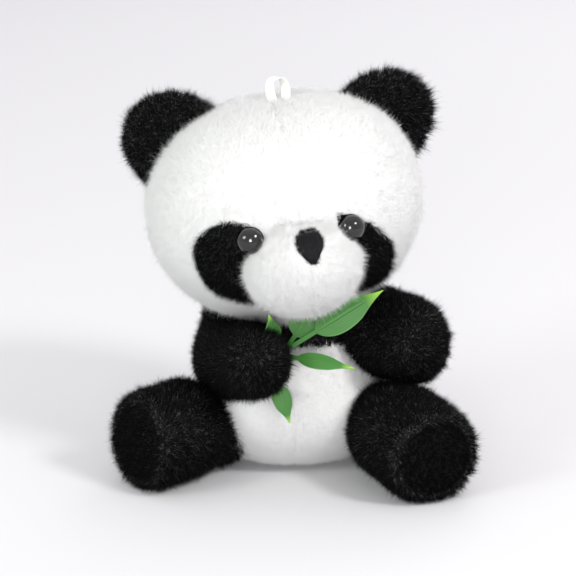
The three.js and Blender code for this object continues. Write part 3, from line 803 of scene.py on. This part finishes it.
NEAR_HEAD = [(off_muzzle, 2.0), (off_body, 2.5)]
HEAD_PILE = {"lean": 0.12, "spread": 0.36, "clump": 0.2, "width": 0.07, "ragged": 0.12, "soft": 0.86,
             "guard_length": 1.5}
PATCH_PILE = {"lean": 0.14, "spread": 0.38, "clump": 0.45, "width": 0.055, "ragged": 0.16, "density": 3.0}
MUZZLE_PILE = {"lean": 0.06, "spread": 0.42, "clump": 0.42, "width": 0.05, "ragged": 0.22, "soft": 0.85,
               "density": 3.4, "guard": 0.18, "guard_length": 1.6}
for side_name, side in SIDES.items():
    for panel_name, front in (("face", True), ("head_back", False)):
        panel(f"{panel_name}_{side_name}", "head", HEAD, head_region(side, front), "white", pile_of_head,
              head_flow, hidden=NEAR_HEAD, density=1.22 if front else 1.0, **HEAD_PILE)
    panel(f"eye_patch_{side_name}", "head", HEAD, partial(in_patch, name=side_name), "black",
          lambda points: 0.95 * pile_of_head(points), head_flow, hidden=[(off_muzzle, 1.0)], **PATCH_PILE)
    panel(f"muzzle_{side_name}", "head", MUZZLE, muzzle_region(side), "white", pile_of_muzzle, head_flow,
          **MUZZLE_PILE)


# ---------- body ----------
def body_region(low, high, side=None, front=None, band=None):
    """The body between two heights: on one side, in front or behind, and in the shoulder band or under it."""
    def region(points):
        x, y, z = points.T
        inside = (z >= low) & (z < high)
        if band is not None:
            inside &= (z > band_height(y)) == band
        if side is not None:
            inside &= (x - BODY_SEAM_X) * side > 0
        if front is not None:
            inside &= (y < 0) == front
        return inside
    return region


def out_and_down(points, out):
    return np.tile([0.0, -0.1, -1.0], (len(points), 1)) + 0.2 * out


NEAR_BODY = [(off_head, 3.0), (off_arm("right"), 3.0), (off_arm("left"), 3.0),
             (off_leg("right"), 3.5), (off_leg("left"), 3.5)]
BLACK_LENGTH = 2.5
BELLY_LENGTH = 2.0
SHORT_LENGTH = 1.6
BELLY_PILE = {"lean": 0.16, "spread": 0.38, "clump": 0.26, "width": 0.06, "ragged": 0.12, "soft": 0.85,
              "density": 2.2, "guard_length": 1.5}
UNDER = -1
OVER = 60
for yoke, front in (("yoke_front", True), ("yoke_back", False)):
    panel(yoke, "body", BODY, body_region(0, OVER, front=front, band=True), "black", BLACK_LENGTH,
          out_and_down, hidden=NEAR_BODY)
for side_name, side in SIDES.items():
    for wall, front in (("belly", True), ("back", False)):
        panel(f"{wall}_{side_name}", "body", BODY, body_region(BASE_Z, OVER, side, front, False), "white",
              BELLY_LENGTH, out_and_down, hidden=NEAR_BODY, **BELLY_PILE)
panel("base_panel", "body", BODY, body_region(UNDER, BASE_Z), "white", SHORT_LENGTH, out_and_down,
      density=0.6, hidden=NEAR_BODY, soft=0.8)


# ---------- limbs and ears ----------
def flow_along(limb):
    """Towards the limb's tip and down."""
    along, _, _ = limb_frame(limb)
    return lambda points, out: np.tile(along + np.array([0, 0, -0.5]), (len(points), 1))


def arm_region(name, upper_side):
    """The upper or the lower half of an arm."""
    limb = ARM[name]
    along, _, upper = limb_frame(limb)

    def region(points):
        s = (points - np.array(limb["root"])) @ along
        return ((points - limb_centre(limb, s)) @ upper > 0) == upper_side
    return region


def sole_region(name, sole):
    """A leg's sole, or all the rest of the leg."""
    limb = LEG[name]
    along, _, _ = limb_frame(limb)
    length = limb_length(limb)

    def region(points):
        local = points - np.array(limb["root"])
        s = local @ along
        radius = np.linalg.norm(local - s[:, None] * along, axis=1)
        return ((s > length - FOOT_ROUND) & (radius < SOLE_R)) == sole
    return region


def ear_region(name, front):
    """The front or the back of an ear, down to where it meets the head."""
    def region(points):
        local = to_ear(points, name)
        ahead = local[:, 1] - ear_middle(local)
        return ((ahead < 0) if front else (ahead > 0)) & (off_head(points) > -1.5)
    return region


def ear_flow(name):
    """Outwards from the ear's foot."""
    turn, _ = ear_turn(name)
    return lambda points, out: unit(to_ear(points, name) + np.array([0, 0, 8])) @ turn.T @ HEAD_TURN.T


ARM_PILE = {"lean": 0.16, "spread": 0.40, "clump": 0.5, "width": 0.062, "ragged": 0.2, "density": 1.9}
LEG_PILE = {**ARM_PILE, "width": 0.07, "density": 1.25}
# The soles' shares leave out the painted glint tufts.
SOLE_PILE = {"lean": 0.1, "spread": 0.45, "clump": 0.45, "width": 0.06, "ragged": 0.12, "density": 2.4,
             "shares": (0.84, 0.16, 0.0), "guard": 0.03}
EAR_PILE = {"lean": 0.22, "spread": 0.42, "clump": 0.55, "width": 0.062, "ragged": 0.24, "density": 2.3}
for side_name in SIDES:
    for half, upper_side in (("arm_upper", True), ("arm_lower", False)):
        panel(f"{half}_{side_name}", f"arm_{side_name}", ARMS[side_name], arm_region(side_name, upper_side),
              "black", BLACK_LENGTH, flow_along(ARM[side_name]), hidden=[(off_body, 2.0), (off_head, 2.0)],
              **ARM_PILE)
    panel(f"leg_{side_name}", f"leg_{side_name}", LEGS[side_name], sole_region(side_name, False), "black",
          BLACK_LENGTH, flow_along(LEG[side_name]), hidden=[(off_body, 1.2)], **LEG_PILE)
    panel(f"sole_{side_name}", f"leg_{side_name}", LEGS[side_name], sole_region(side_name, True), "black",
          SHORT_LENGTH, down, **SOLE_PILE)
    for half, front in (("ear_front", True), ("ear_back", False)):
        panel(f"{half}_{side_name}", f"ear_{side_name}", EARS[side_name], ear_region(side_name, front),
              "black", BLACK_LENGTH, ear_flow(side_name), **EAR_PILE)


# ---------- eyes ----------
def lathe(profile, around=64):
    """Rings about +Z from (radius, height) pairs. The first and last radius are 0."""
    turn = circle(around)[None, :]
    radius, height = (column[:, None] for column in np.asarray(profile, float).T)
    return np.stack([radius * np.cos(turn), radius * np.sin(turn), height * np.ones_like(turn)], -1)


EYE_GLASS = shader("eye_glass", (0.32, 0.315, 0.31), 0.015, Transmission_Weight=1.0, IOR=1.5,
                   Coat_Weight=0.4, Coat_Roughness=0.1)
EYE_BLACK = shader("eye_black", (0.008, 0.008, 0.010), 0.12, Coat_Weight=0.6, Coat_Roughness=0.03)
EYE_PRINT = shader("eye_print", (0.004, 0.004, 0.005), 0.6, Specular_IOR_Level=0.0)
# Heights along an eye's own axis, from the surface of the head's ball
POST_Z = -8.0
DISC_Z = (0.65, 1.55)
DOME_Z = 1.7
DOME_RISE = 3.1
POST_R = 1.1
DISC_ROUND = 0.2
DOME_LIP = 0.22


def eye_profiles():
    """(disc with its post, clear dome) as lathe profiles."""
    r = EYE["radius"]
    low, high = DISC_Z
    flat = r - DISC_ROUND
    disc = [(0, POST_Z), (POST_R - 0.2, POST_Z), (POST_R, POST_Z + 0.3)]
    disc += [(POST_R, low - 0.2), (1.4, low), (flat, low)]
    for a in np.linspace(0.3, 1.5, 4):
        disc.append((flat + DISC_ROUND * math.sin(a), low + DISC_ROUND - DISC_ROUND * math.cos(a)))
    disc += [(r, high - DISC_ROUND), (r - 0.06, high - 0.06), (flat, high), (0, high + 0.1)]
    dome = [(0, DOME_Z), (r - 0.25, DOME_Z), (r - 0.08, DOME_Z + 0.06), (r, DOME_Z + DOME_LIP)]
    for a in np.linspace(0.06, math.pi / 2, 26)[:-1]:
        dome.append((r * math.cos(a), DOME_Z + DOME_LIP + DOME_RISE * math.sin(a)))
    dome.append((0, DOME_Z + DOME_LIP + DOME_RISE))
    return disc, dome


for side_name in SIDES:
    centre, out = eye_place(side_name)
    level = unit(np.cross([0, 0, 1], out))
    axes = np.stack([level, np.cross(out, level), out])
    for part, profile, look, slot_name in (
        ("eye_back", eye_profiles()[0], EYE_BLACK, "eye_dark"),
        ("eye_lens", eye_profiles()[1], EYE_GLASS, "eye_clear"),
    ):
        shape = ring_form(from_head(lathe(profile) @ axes + centre))
        height = (to_head(shape.centres) - centre) @ out
        printed = (height < DOME_Z + 0.02).astype(int)
        name = f"{part}_{side_name}"
        thing = mesh_object(f"{name}_dome", shape.points, shape.triangles, [look, EYE_PRINT], printed)
        settle(thing, "head", name)


# ---------- nose ----------
def capped(path, rings):
    """Rings round a path, with its first and last points as rings of their own."""
    around = rings.shape[1]
    first = np.repeat(path[:1, None], around, axis=1)
    last = np.repeat(path[-1:, None], around, axis=1)
    return np.concatenate([first, rings, last])


def tube(path, radius, around=6):
    """Rings round a path of points, closed to a point at both ends."""
    path = np.asarray(path, float)
    ahead = unit(np.gradient(path, axis=0))
    side = unit(np.cross(ahead, [0.99, 0.12, 0.05]))
    other = np.cross(ahead, side)
    turn = circle(around)[None, :, None]
    width = np.broadcast_to(np.asarray(radius, float), (len(path),))[:, None, None]
    rings = path[:, None] + width * (np.cos(turn) * side[:, None] + np.sin(turn) * other[:, None])
    return capped(path, rings)


def joined(forms):
    """Several forms as one list of points and one of triangles."""
    starts = np.cumsum([0] + [len(form.points) for form in forms])
    triangles = [form.triangles + start for form, start in zip(forms, starts)]
    return np.concatenate([form.points for form in forms]), np.concatenate(triangles)


NOSE_THREADS = 30
NOSE_PROUD = 0.95
THREAD_R = 0.17
THREAD_POINTS = 14


def on_muzzle(x, z, proud):
    """Points that stand proud of the muzzle's front by some distance, in the head's frame."""
    dx, dz = x - MUZZLE_AT[0], z - MUZZLE_AT[2]
    radii = MUZZLE_R - 0.4 * MUZZLE_SLIM
    depth = np.sqrt(np.maximum(1 - (dx / radii[0]) ** 2 - (dz / radii[2]) ** 2, 0.05))
    point = np.stack([x, MUZZLE_AT[1] - radii[1] * depth, z], -1)
    return point + proud[..., None] * unit((point - MUZZLE_AT) / radii ** 2)


def nose_pad(x, z):
    """How far the padding stands proud at a point of the nose."""
    room = np.clip(-off_nose(np.stack([x, 0 * x, z], -1)), 0, 2.0) / 2.0
    return NOSE_PROUD * np.sqrt(np.clip(1 - (1 - room) ** 2, 0, 1))


def build_nose():
    """Two layers of upright satin stitches, the second slanted a little."""
    random = seeded("nose")
    forms = []
    heights = np.linspace(NOSE["z"] + NOSE["tall"] / 2, NOSE["z"] - NOSE["tall"] / 2, 60)
    for layer, slant in ((0, 0.0), (1, 0.05)):
        for number in range(NOSE_THREADS):
            share = (number + 0.5) / NOSE_THREADS * 2 - 1
            x = NOSE["x"] + share * NOSE["wide"] / 2 + slant * (heights - NOSE["z"]) + random.normal(0, 0.03)
            inside = off_nose(np.stack([x, 0 * x, heights], -1)) < 0.1 * random.random()
            if inside.sum() < 5:
                continue
            x, z = x[inside], heights[inside]
            keep = np.linspace(0, len(z) - 1, THREAD_POINTS).astype(int)
            x, z = x[keep], z[keep]
            proud = 0.1 + nose_pad(x, z) + 0.12 * layer
            proud[[0, -1]] -= 0.5
            forms.append(ring_form(from_head(tube(on_muzzle(x, z, proud), THREAD_R))))
    return joined(forms)


NOSE_LOOK = shader("nose_floss", (0.007, 0.007, 0.008), 0.55, Specular_IOR_Level=0.15)
floss = texture(NOSE_LOOK, "ShaderNodeTexNoise", Scale=1500.0, Detail=2.0)
two_tone(NOSE_LOOK, floss.outputs["Fac"], (0.0022, 0.0022, 0.0026), (0.0070, 0.0068, 0.0080))
nose = mesh_object("nose_stitches", *build_nose(), [NOSE_LOOK])
settle(nose, "head", "nose")


def nose_edge(points):
    """A narrow strip of the muzzle's front round the nose."""
    local = to_head(points)
    return (np.abs(off_nose(local) + 0.15) < 0.4) & (local[:, 1] < MUZZLE_AT[1])


fringe = grow("nose_fringe", MUZZLE, nose_edge, BLACK_PILE, 1.25, head_flow, lean=0.1, spread=0.5, clump=0.4,
              density=7.0, width=0.06, ragged=0.2, soft=0.3)
settle(fringe, "head")


# ---------- hanging loop ----------
# wide is half the arch's width, tall its height, and width and thick the ribbon's own. twist is in degrees.
LOOP = {"x": 2.6, "y": -2.6, "wide": 2.9, "tall": 8.0, "width": 2.9, "thick": 0.32, "twist": 62}


def build_loop():
    """A satin ribbon bent into a tall arch, its faces turned a little to the front at both feet."""
    share = np.linspace(0, 1, 64)
    angle = math.pi * (1 - share)
    reach = LOOP["wide"] * (0.55 + 0.45 * np.sin(angle) ** 0.7)
    x = reach * np.sign(np.cos(angle)) * np.abs(np.cos(angle)) ** 0.75
    z = LOOP["tall"] * np.sin(angle) ** 0.62 - 1.6
    path = np.stack([x, 0.5 * np.sin(math.pi * share), z], -1)
    ahead = unit(np.gradient(path, axis=0))
    twist = np.radians(LOOP["twist"]) * np.cos(math.pi * share)
    face = unit(np.cross(ahead, [0, 1, 0]))
    wide = np.cos(twist)[:, None] * np.array([0, 1.0, 0]) + np.sin(twist)[:, None] * face
    wide = unit(wide - dot(wide, ahead)[:, None] * ahead)
    thick = np.cross(ahead, wide)
    across = np.linspace(-1, 1, 17)
    half_w, half_t = LOOP["width"] / 2, LOOP["thick"] / 2
    swell = half_t * (1 + 0.35 * (np.abs(across) > 0.85)) * np.sqrt(np.clip(1.02 - across ** 6, 0.02, 1))
    rows_top = across[None, :, None] * half_w * wide[:, None] + swell[None, :, None] * thick[:, None]
    rows_low = across[None, ::-1, None] * half_w * wide[:, None] - swell[None, :, None] * thick[:, None]
    rings = capped(path, path[:, None] + np.concatenate([rows_top, rows_low], axis=1))
    return ring_form(from_head(rings + np.array([LOOP["x"], LOOP["y"], HEAD_R[2]])))


SATIN = shader("satin_ribbon", (0.88, 0.87, 0.85), 0.32, Sheen_Weight=0.4, Anisotropic=0.6)
threads = texture(SATIN, "ShaderNodeTexWave", Scale=1600.0, Distortion=0.4)
threads.bands_direction = "Z"
two_tone(SATIN, threads.outputs["Fac"], (0.66, 0.65, 0.60), (0.84, 0.83, 0.79), 0.2, 0.8)
bumped(SATIN, threads.outputs["Fac"], 0.4, 0.0001)
shape = build_loop()
loop = mesh_object("hanging_loop_ribbon", shape.points, shape.triangles, [SATIN])
settle(loop, "loop", "hanging_loop")


# ---------- bamboo sprig ----------
# half is a blade's half width, face the way its front looks, and stalk the share of its length that is stalk.
LEAVES = {
    "leaf_small": {"base": [-5.2, -33.4, 41.4], "tip": [-6.2, -35.0, 50.2], "half": 2.6,
                   "face": [0.5, -1, 0.1], "stalk": 0.08, "curl": 0.7},
    "leaf_middle": {"base": [-1.7, -29.4, 39.4], "tip": [5.6, -28.9, 50.2], "half": 3.9,
                    "face": [0, -1, 0.3], "stalk": 0.3, "curl": 0.3},
    "leaf_large": {"base": [-0.7, -30.8, 39.9], "tip": [24.4, -30.2, 56], "half": 4.4,
                   "face": [0.15, -1, 0.5], "stalk": 0.27, "curl": 0.6},
    "leaf_low": {"base": [-0.9, -31, 37.2], "tip": [16.4, -38, 36.4], "half": 2.25,
                 "face": [0.1, -1, 0.5], "stalk": 0.12, "curl": 0.8},
    "leaf_hanging": {"base": [-4.4, -29.2, 29], "tip": [-0.9, -32.2, 18.4], "half": 2.7,
                     "face": [0.1, -1, 0.3], "stalk": 0.05, "curl": 0.4},
}
STALK_HALF = 0.6
LEAF_THICK = 0.55
VEINS = 7


def leaf_half(leaf, u):
    """Half width at a share of a leaf's length: a thin stalk, then a blade that tapers to a long point."""
    body = np.clip((u - leaf["stalk"]) / (1 - leaf["stalk"]), 0, 1)
    blade = np.sin(math.pi * body ** 0.72) ** 0.85 * (1 - 0.22 * body)
    blade = np.where(body > 0.6, blade * (1 - 0.55 * (body - 0.6) / 0.4), blade)
    stalk = STALK_HALF * (1 - 0.9 * np.clip((u - 0.86) / 0.14, 0, 1))
    return np.maximum(leaf["half"] * 1.06 * blade, stalk * (u < 0.995) + 0.02)


def build_leaf(leaf):
    """(form, places): a blade folded along its midrib, and how far along and across it each point is."""
    base, tip = np.array(leaf["base"]), np.array(leaf["tip"])
    length = np.linalg.norm(tip - base)
    along = unit(tip - base)
    normal = unit(np.array(leaf["face"]) - np.dot(leaf["face"], along) * along)
    across = np.cross(normal, along)
    u = np.linspace(0, 1, 110)
    v = np.linspace(-1, 1, 41)
    half = leaf_half(leaf, u)
    rounding = np.sqrt(np.clip(1 - v ** 8, 0, 1))
    thick = 0.5 * LEAF_THICK * (0.35 + 0.65 * rounding)
    wide_enough = np.clip(half / 1.6, 0, 1)[:, None]
    fold = -0.28 * half[:, None] * np.abs(v) ** 1.3 + 0.16 * half[:, None] * v ** 2
    veins = 0.05 * np.cos(2 * math.pi * VEINS * np.abs(v)) * wide_enough
    midrib = -0.16 * np.exp(-(v / 0.07) ** 2) * wide_enough
    bend = leaf["curl"] * np.sin(math.pi * u)[:, None] - 1.1 * leaf["curl"] * u[:, None] ** 3
    wave = 0.12 * half[:, None] * np.sin(5 * u[:, None] + 1) * v * 0.5
    height = fold + bend + wave
    top = height + thick + veins + midrib
    low = height - thick
    v_all = np.concatenate([v, v[::-1]])
    z_all = np.concatenate([top, low[:, ::-1]], axis=1)
    points = (base + (u * length)[:, None, None] * along + (half[:, None] * v_all)[..., None] * across
              + z_all[..., None] * normal)
    points[0] = points[0].mean(axis=0)
    points[-1] = points[-1].mean(axis=0)
    where_uv = np.stack([np.repeat(u[:, None], len(v_all), 1), np.repeat(v_all[None], len(u), 0)], -1)
    flat = np.concatenate([where_uv[0, :1], where_uv[1:-1].reshape(-1, 2), where_uv[-1, :1]])
    return ring_form(points), flat


def leaf_look():
    """Moulded plastic: green, with darker veins, and lime towards the edges and the tip."""
    look = shader("leaf_plastic", (0.10, 0.33, 0.05), 0.4, Specular_IOR_Level=0.25)
    place = node(look, "ShaderNodeAttribute")
    place.attribute_name = "leaf"
    split = node(look, "ShaderNodeSeparateXYZ")
    link(look, place.outputs["Vector"], split.inputs["Vector"])

    def maths(kind, *values, clamp=False):
        made = node(look, "ShaderNodeMath")
        made.operation = kind
        made.use_clamp = clamp
        for index, value in enumerate(values):
            if isinstance(value, (int, float)):
                made.inputs[index].default_value = value
            else:
                link(look, value, made.inputs[index])
        return made.outputs[0]

    def mixed(factor, first, second):
        made = node(look, "ShaderNodeMix")
        made.data_type = "RGBA"
        link(look, factor, made.inputs["Factor"])
        for socket, value in (("A", first), ("B", second)):
            slot = [s for s in made.inputs if s.name == socket and s.type == "RGBA"][0]
            if isinstance(value, tuple):
                slot.default_value = (*value, 1)
            else:
                link(look, value, slot)
        return [s for s in made.outputs if s.type == "RGBA"][0]

    beside = maths("ABSOLUTE", split.outputs["Y"])
    vein = maths("SINE", maths("MULTIPLY", beside, 2 * math.pi * VEINS))
    vein = maths("MULTIPLY_ADD", vein, 0.5, 0.5)
    mottle = texture(look, "ShaderNodeTexNoise", Scale=260.0, Detail=3.0)
    green = mixed(vein, (0.028, 0.116, 0.024), (0.058, 0.198, 0.034))
    green = mixed(maths("MULTIPLY", mottle.outputs["Fac"], 0.5), green, (0.042, 0.170, 0.028))
    edge = maths("MULTIPLY", maths("SUBTRACT", beside, 0.90), 6.0, clamp=True)
    green = mixed(edge, green, (0.190, 0.400, 0.130))
    tip = maths("MULTIPLY", maths("SUBTRACT", split.outputs["X"], 0.80), 5.0, clamp=True)
    green = mixed(tip, green, (0.300, 0.560, 0.050))
    link(look, green, surface(look)["Base Color"])
    return look


LEAF_LOOK = leaf_look()
for leaf_name, leaf in LEAVES.items():
    shape, spots = build_leaf(leaf)
    thing = mesh_object(f"{leaf_name}_blade", shape.points, shape.triangles, [LEAF_LOOK])
    stored = thing.data.attributes.new("leaf", "FLOAT_VECTOR", "POINT")
    stored.data.foreach_set("vector", np.column_stack([spots, 0 * spots[:, 0]]).astype(np.float32).ravel())
    settle(thing, "sprig", leaf_name)

STEM_ROUTE = np.array([[-4.0, -28.9, 28], [-3.4, -28.3, 32], [-2.4, -28.8, 36], [-1.8, -30.2, 39.4]])
STEM_POINTS = 60
STEM_R = 0.7
STEM_KNOTS = 3
KNOT_SWELL = 0.16
stem_path = smooth_profile(STEM_ROUTE, STEM_POINTS)
knots = np.exp(-((np.linspace(0, STEM_KNOTS, STEM_POINTS) % 1 - 0.5) / 0.08) ** 2)
STEM_LOOK = shader("stem_plastic", (0.16, 0.40, 0.06), 0.34)
streaks = texture(STEM_LOOK, "ShaderNodeTexNoise", Scale=500.0, Detail=3.0)
two_tone(STEM_LOOK, streaks.outputs["Fac"], (0.09, 0.28, 0.04), (0.24, 0.50, 0.09))
bumped(STEM_LOOK, streaks.outputs["Fac"], 0.3, 0.0002)
shape = ring_form(tube(stem_path, STEM_R + KNOT_SWELL * knots, 16))
stem = mesh_object("stem_rod", shape.points, shape.triangles, [STEM_LOOK])
settle(stem, "sprig", "stem")


# ---------- pieces that stay inside ----------
def inner_look(name, dark, light, scale, roughness, strength=0.5):
    """A grainy material. strength is that of its relief."""
    look = shader(name, light, roughness)
    grain = texture(look, "ShaderNodeTexNoise", Scale=scale, Detail=4.0)
    two_tone(look, grain.outputs["Fac"], dark, light)
    bumped(look, grain.outputs["Fac"], strength, 0.0005)
    return look


FIBRE_FILL = inner_look("fibre_fill", (0.74, 0.74, 0.72), (0.92, 0.92, 0.90), 180.0, 0.95, 0.9)
INNER = {
    FIBRE_FILL: ["body_stuffing", "head_stuffing", "muzzle_stuffing"],
    inner_look("pouch_cotton", (0.62, 0.60, 0.56), (0.80, 0.78, 0.74), 700.0, 0.9): ["bean_pouch"],
    inner_look("washer_nylon", (0.74, 0.74, 0.72), (0.84, 0.84, 0.82), 300.0, 0.45, 0.1): [
        "eye_washer_right", "eye_washer_left",
    ],
    inner_look("sewing_thread", (0.76, 0.75, 0.73), (0.88, 0.87, 0.85), 1500.0, 0.7): ["neck_seam"],
}
for look, names in INNER.items():
    for name in names:
        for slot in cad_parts[name].material_slots:
            slot.material = look

# The limbs' stuffing fills the rebuilt limbs, just inside their cloth.
FILL_IN = 1.5
for kind, forms in (("arm", ARMS), ("leg", LEGS)):
    for side_name, form in forms.items():
        inside = form.points - FILL_IN * form.normals
        fill = mesh_object(f"{kind}_stuffing_{side_name}_fill", inside, form.triangles, [FIBRE_FILL])
        settle(fill, f"{kind}_{side_name}", f"{kind}_stuffing_{side_name}")


# ---------- floor ----------
FLOOR_LOOK = shader("floor_paper", (0.635, 0.629, 0.641), 0.8)
FLOOR_HALF = 2500.0
corners = np.array([[-1, -1, 0], [1, -1, 0], [1, 1, 0], [-1, 1, 0]]) * FLOOR_HALF
floor = mesh_object("floor", corners, np.array([[0, 1, 2], [0, 2, 3]]), [FLOOR_LOOK])
